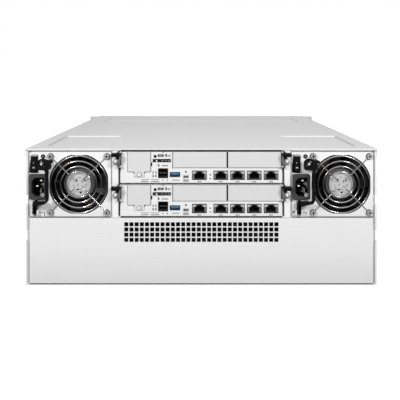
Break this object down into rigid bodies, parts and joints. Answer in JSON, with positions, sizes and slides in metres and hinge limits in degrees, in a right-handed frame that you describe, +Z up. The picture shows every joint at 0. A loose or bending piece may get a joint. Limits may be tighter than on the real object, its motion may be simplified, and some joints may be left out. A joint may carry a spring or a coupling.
{
  "type": "storage array",
  "caption": "Rack storage array with sliding controller canisters, fan-cooled power supplies and hot-swap drive trays.",
  "frame": {"origin": "middle of the whole assembly's extent in plan, at the height of the flat underside", "axes": "+X to the right seen from behind, +Y from the rear faces of the modules to the drive front, +Z up"},
  "size_m": [0.4826, 0.515, 0.1745],
  "materials": {
    "plated_steel": "zinc plated sheet, satin, faint lengthwise grain",
    "ear_steel": "dark grey powder coat",
    "screw_steel": "bright zinc",
    "circuit_board": "green solder mask",
    "supply_board": "brown board with finned sinks",
    "port_shell": "tinned shells around black sockets",
    "cover_steel": "zinc plated, satin",
    "black_plastic": "moulded, fine texture",
    "inlet_plastic": "moulded thermoset",
    "fan_plastic": "moulded, semi matt",
    "lever_mix": "black nylon on a plated arm with a bright thumbscrew",
    "tray_metal": "pressed tray, cast drive and grey bezel"
  },
  "bodies": {
    "chassis": {"chassis_shell": "plated_steel", "top_cover": "plated_steel", "rear_vent_panel": "plated_steel", "bay_frame": "plated_steel", "rack_ears": "ear_steel", "chassis_screws": "screw_steel", "midplane_board": "circuit_board", "drive_cage": "plated_steel"},
    "canister_lower": {"canister_lower_case": "plated_steel", "canister_lower_faceplate": "cover_steel", "canister_lower_board": "circuit_board", "canister_lower_covers": "cover_steel", "canister_lower_ports": "port_shell"},
    "canister_lower_lever_right": {"canister_lower_lever_right": "lever_mix"},
    "canister_lower_lever_left": {"canister_lower_lever_left": "lever_mix"},
    "canister_upper": {"canister_upper_case": "plated_steel", "canister_upper_faceplate": "cover_steel", "canister_upper_board": "circuit_board", "canister_upper_covers": "cover_steel", "canister_upper_ports": "port_shell"},
    "canister_upper_lever_right": {"canister_upper_lever_right": "lever_mix"},
    "canister_upper_lever_left": {"canister_upper_lever_left": "lever_mix"},
    "psu_left": {"psu_left_case": "cover_steel", "psu_left_board": "supply_board", "psu_left_fan_frame": "fan_plastic", "psu_left_inlet": "inlet_plastic"},
    "psu_left_fan_rotor": {"psu_left_fan_rotor": "fan_plastic"},
    "psu_left_rocker": {"psu_left_rocker": "black_plastic"},
    "psu_left_lever": {"psu_left_lever": "black_plastic"},
    "psu_right": {"psu_right_case": "cover_steel", "psu_right_board": "supply_board", "psu_right_fan_frame": "fan_plastic", "psu_right_inlet": "inlet_plastic"},
    "psu_right_fan_rotor": {"psu_right_fan_rotor": "fan_plastic"},
    "psu_right_rocker": {"psu_right_rocker": "black_plastic"},
    "psu_right_lever": {"psu_right_lever": "black_plastic"},
    "drive_tray_11": {"drive_tray_11": "tray_metal"},
    "drive_tray_12": {"drive_tray_12": "tray_metal"},
    "drive_tray_13": {"drive_tray_13": "tray_metal"},
    "drive_tray_14": {"drive_tray_14": "tray_metal"},
    "drive_tray_21": {"drive_tray_21": "tray_metal"},
    "drive_tray_22": {"drive_tray_22": "tray_metal"},
    "drive_tray_23": {"drive_tray_23": "tray_metal"},
    "drive_tray_24": {"drive_tray_24": "tray_metal"},
    "drive_tray_31": {"drive_tray_31": "tray_metal"},
    "drive_tray_32": {"drive_tray_32": "tray_metal"},
    "drive_tray_33": {"drive_tray_33": "tray_metal"},
    "drive_tray_34": {"drive_tray_34": "tray_metal"},
    "drive_tray_41": {"drive_tray_41": "tray_metal"},
    "drive_tray_42": {"drive_tray_42": "tray_metal"},
    "drive_tray_43": {"drive_tray_43": "tray_metal"},
    "drive_tray_44": {"drive_tray_44": "tray_metal"},
    "drive_tray_51": {"drive_tray_51": "tray_metal"},
    "drive_tray_52": {"drive_tray_52": "tray_metal"},
    "drive_tray_53": {"drive_tray_53": "tray_metal"},
    "drive_tray_54": {"drive_tray_54": "tray_metal"},
    "drive_tray_61": {"drive_tray_61": "tray_metal"},
    "drive_tray_62": {"drive_tray_62": "tray_metal"},
    "drive_tray_63": {"drive_tray_63": "tray_metal"},
    "drive_tray_64": {"drive_tray_64": "tray_metal"}
  },
  "joints": [
    {"name": "canister_lower_slide", "type": "slide", "parent": "chassis", "child": "canister_lower", "axis": [0, -1, 0], "range_m": [0, 0.31]},
    {"name": "canister_lower_lever_left_hinge", "type": "hinge", "parent": "canister_lower", "child": "canister_lower_lever_left", "pos_m": [-0.1044, -0.246, 0.11665], "axis": [0, 0, 1], "range_deg": [0, 90]},
    {"name": "canister_lower_lever_right_hinge", "type": "hinge", "parent": "canister_lower", "child": "canister_lower_lever_right", "pos_m": [0.1044, -0.246, 0.11665], "axis": [0, 0, -1], "range_deg": [0, 90]},
    {"name": "canister_upper_slide", "type": "slide", "parent": "chassis", "child": "canister_upper", "axis": [0, -1, 0], "range_m": [0, 0.31]},
    {"name": "canister_upper_lever_left_hinge", "type": "hinge", "parent": "canister_upper", "child": "canister_upper_lever_left", "pos_m": [-0.1044, -0.246, 0.1589], "axis": [0, 0, 1], "range_deg": [0, 90]},
    {"name": "canister_upper_lever_right_hinge", "type": "hinge", "parent": "canister_upper", "child": "canister_upper_lever_right", "pos_m": [0.1044, -0.246, 0.1589], "axis": [0, 0, -1], "range_deg": [0, 90]},
    {"name": "psu_left_slide", "type": "slide", "parent": "chassis", "child": "psu_left", "axis": [0, -1, 0], "range_m": [0, 0.31]},
    {"name": "psu_left_fan_spin", "type": "hinge", "parent": "psu_left", "child": "psu_left_fan_rotor", "pos_m": [-0.1558, -0.23, 0.1284], "axis": [0, -1, 0], "continuous": true},
    {"name": "psu_left_rocker_hinge", "type": "hinge", "parent": "psu_left", "child": "psu_left_rocker", "pos_m": [-0.2121, -0.2425, 0.15465], "axis": [1, 0, 0], "range_deg": [0, 14]},
    {"name": "psu_left_lever_hinge", "type": "hinge", "parent": "psu_left", "child": "psu_left_lever", "pos_m": [-0.2125, -0.2471, 0.094], "axis": [1, 0, 0], "range_deg": [0, 75]},
    {"name": "psu_right_slide", "type": "slide", "parent": "chassis", "child": "psu_right", "axis": [0, -1, 0], "range_m": [0, 0.31]},
    {"name": "psu_right_fan_spin", "type": "hinge", "parent": "psu_right", "child": "psu_right_fan_rotor", "pos_m": [0.1776, -0.23, 0.1284], "axis": [0, -1, 0], "continuous": true},
    {"name": "psu_right_rocker_hinge", "type": "hinge", "parent": "psu_right", "child": "psu_right_rocker", "pos_m": [0.1213, -0.2425, 0.15465], "axis": [1, 0, 0], "range_deg": [0, 14]},
    {"name": "psu_right_lever_hinge", "type": "hinge", "parent": "psu_right", "child": "psu_right_lever", "pos_m": [0.1209, -0.2471, 0.094], "axis": [1, 0, 0], "range_deg": [0, 75]},
    {"name": "drive_tray_11_slide", "type": "slide", "parent": "chassis", "child": "drive_tray_11", "axis": [0, 1, 0], "range_m": [0, 0.19]},
    {"name": "drive_tray_12_slide", "type": "slide", "parent": "chassis", "child": "drive_tray_12", "axis": [0, 1, 0], "range_m": [0, 0.19]},
    {"name": "drive_tray_13_slide", "type": "slide", "parent": "chassis", "child": "drive_tray_13", "axis": [0, 1, 0], "range_m": [0, 0.19]},
    {"name": "drive_tray_14_slide", "type": "slide", "parent": "chassis", "child": "drive_tray_14", "axis": [0, 1, 0], "range_m": [0, 0.19]},
    {"name": "drive_tray_21_slide", "type": "slide", "parent": "chassis", "child": "drive_tray_21", "axis": [0, 1, 0], "range_m": [0, 0.19]},
    {"name": "drive_tray_22_slide", "type": "slide", "parent": "chassis", "child": "drive_tray_22", "axis": [0, 1, 0], "range_m": [0, 0.19]},
    {"name": "drive_tray_23_slide", "type": "slide", "parent": "chassis", "child": "drive_tray_23", "axis": [0, 1, 0], "range_m": [0, 0.19]},
    {"name": "drive_tray_24_slide", "type": "slide", "parent": "chassis", "child": "drive_tray_24", "axis": [0, 1, 0], "range_m": [0, 0.19]},
    {"name": "drive_tray_31_slide", "type": "slide", "parent": "chassis", "child": "drive_tray_31", "axis": [0, 1, 0], "range_m": [0, 0.19]},
    {"name": "drive_tray_32_slide", "type": "slide", "parent": "chassis", "child": "drive_tray_32", "axis": [0, 1, 0], "range_m": [0, 0.19]},
    {"name": "drive_tray_33_slide", "type": "slide", "parent": "chassis", "child": "drive_tray_33", "axis": [0, 1, 0], "range_m": [0, 0.19]},
    {"name": "drive_tray_34_slide", "type": "slide", "parent": "chassis", "child": "drive_tray_34", "axis": [0, 1, 0], "range_m": [0, 0.19]},
    {"name": "drive_tray_41_slide", "type": "slide", "parent": "chassis", "child": "drive_tray_41", "axis": [0, 1, 0], "range_m": [0, 0.19]},
    {"name": "drive_tray_42_slide", "type": "slide", "parent": "chassis", "child": "drive_tray_42", "axis": [0, 1, 0], "range_m": [0, 0.19]},
    {"name": "drive_tray_43_slide", "type": "slide", "parent": "chassis", "child": "drive_tray_43", "axis": [0, 1, 0], "range_m": [0, 0.19]},
    {"name": "drive_tray_44_slide", "type": "slide", "parent": "chassis", "child": "drive_tray_44", "axis": [0, 1, 0], "range_m": [0, 0.19]},
    {"name": "drive_tray_51_slide", "type": "slide", "parent": "chassis", "child": "drive_tray_51", "axis": [0, 1, 0], "range_m": [0, 0.19]},
    {"name": "drive_tray_52_slide", "type": "slide", "parent": "chassis", "child": "drive_tray_52", "axis": [0, 1, 0], "range_m": [0, 0.19]},
    {"name": "drive_tray_53_slide", "type": "slide", "parent": "chassis", "child": "drive_tray_53", "axis": [0, 1, 0], "range_m": [0, 0.19]},
    {"name": "drive_tray_54_slide", "type": "slide", "parent": "chassis", "child": "drive_tray_54", "axis": [0, 1, 0], "range_m": [0, 0.19]},
    {"name": "drive_tray_61_slide", "type": "slide", "parent": "chassis", "child": "drive_tray_61", "axis": [0, 1, 0], "range_m": [0, 0.19]},
    {"name": "drive_tray_62_slide", "type": "slide", "parent": "chassis", "child": "drive_tray_62", "axis": [0, 1, 0], "range_m": [0, 0.19]},
    {"name": "drive_tray_63_slide", "type": "slide", "parent": "chassis", "child": "drive_tray_63", "axis": [0, 1, 0], "range_m": [0, 0.19]},
    {"name": "drive_tray_64_slide", "type": "slide", "parent": "chassis", "child": "drive_tray_64", "axis": [0, 1, 0], "range_m": [0, 0.19]}
  ]
}
